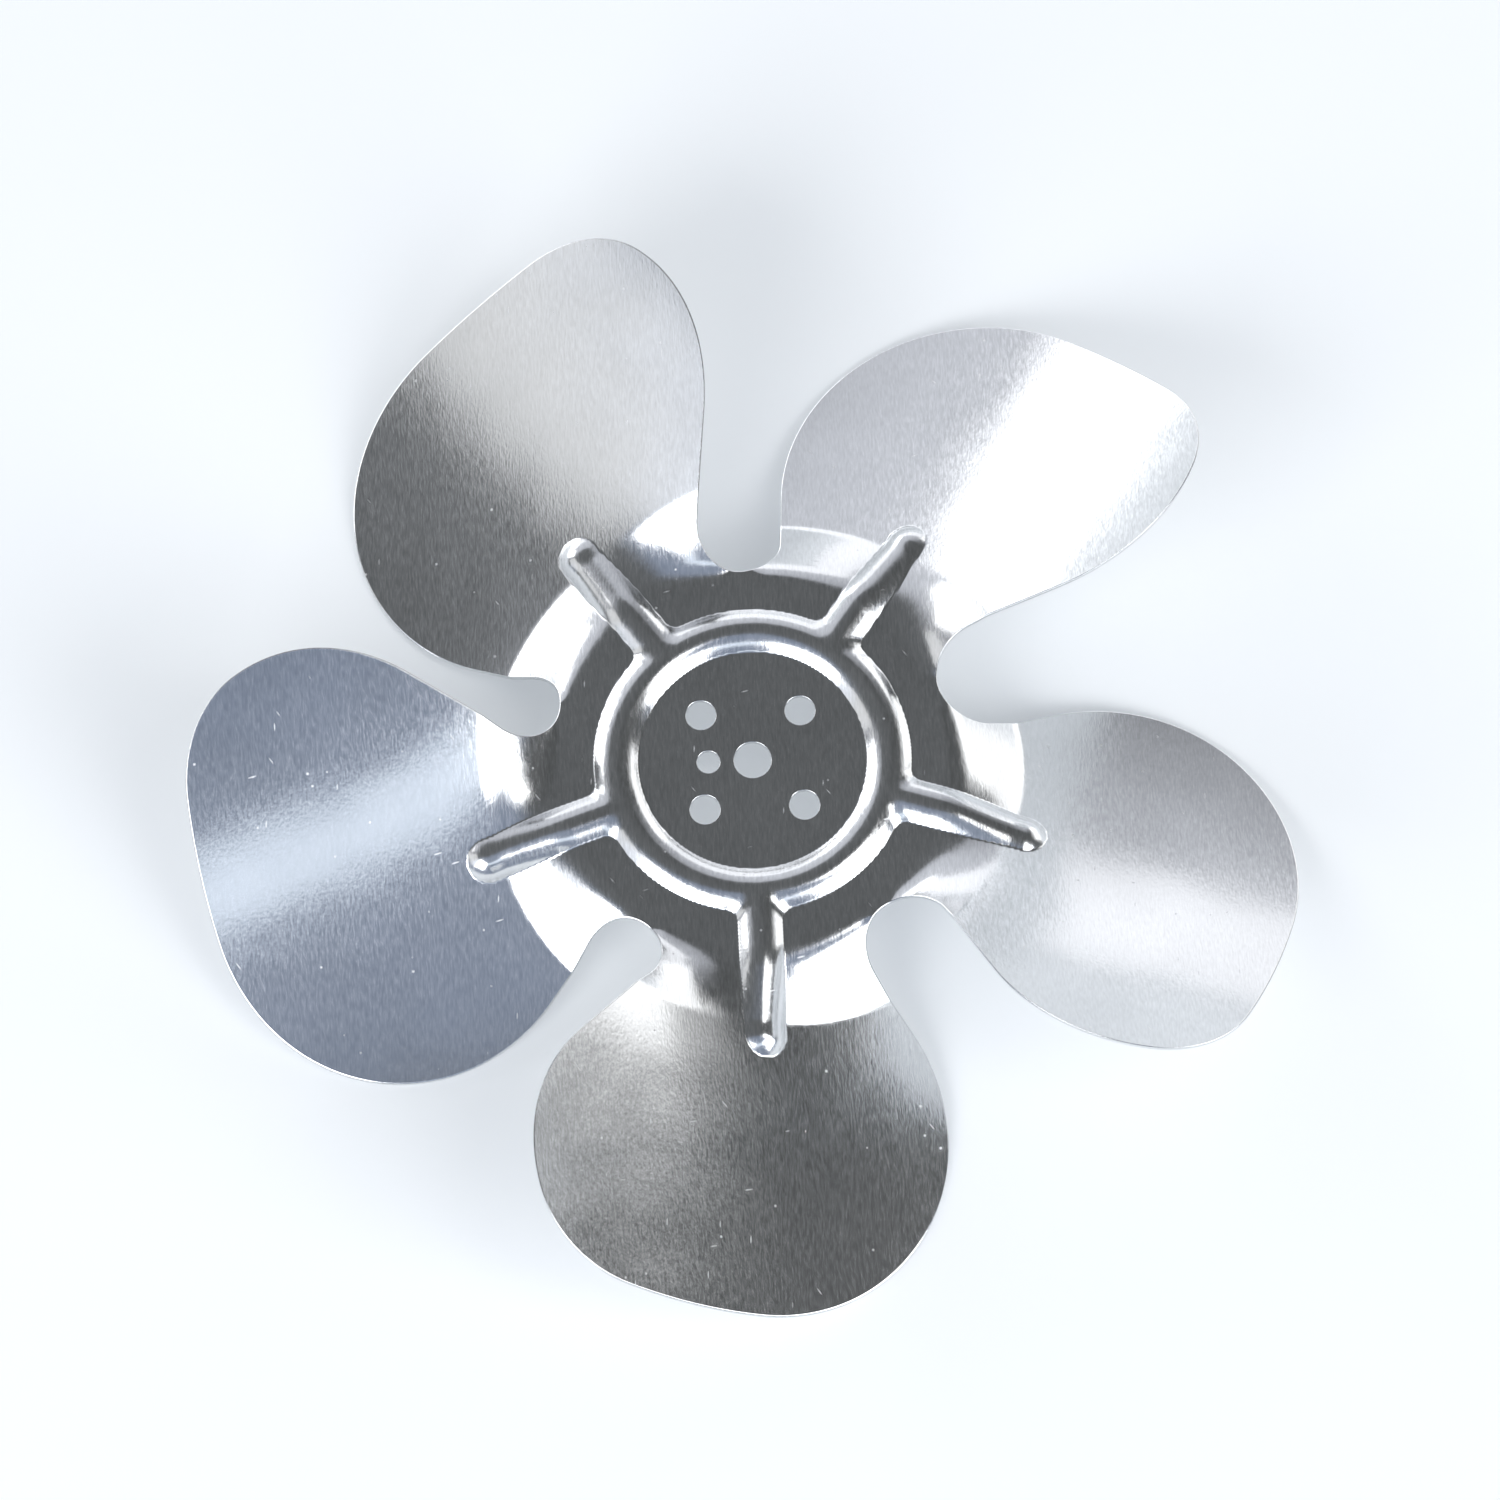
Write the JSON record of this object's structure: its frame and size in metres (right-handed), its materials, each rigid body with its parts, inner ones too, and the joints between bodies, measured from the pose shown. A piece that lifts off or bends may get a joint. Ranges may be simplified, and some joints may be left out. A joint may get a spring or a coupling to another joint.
{
  "type": "refrigerator fan blade",
  "caption": "Axial fan wheel pressed from aluminium sheet: pitched, cambered blades on ribbed arms round a flat hub disc with a shaft bore and bolt holes; moves air in a cooling unit.",
  "frame": {"origin": "centre of the shaft bore, on the underside of the flat hub disc", "axes": "+Z along the shaft, towards the face with the raised ring and ribs, which is the side that the blades blow to; one rib runs along -Y"},
  "size_m": [0.199, 0.1976, 0.0426],
  "materials": {
    "fan_blade": "mill-finish sheet, fine rolling grain, lightly scratched"
  },
  "bodies": {
    "root": {"fan_blade": "fan_blade"}
  },
  "joints": []
}
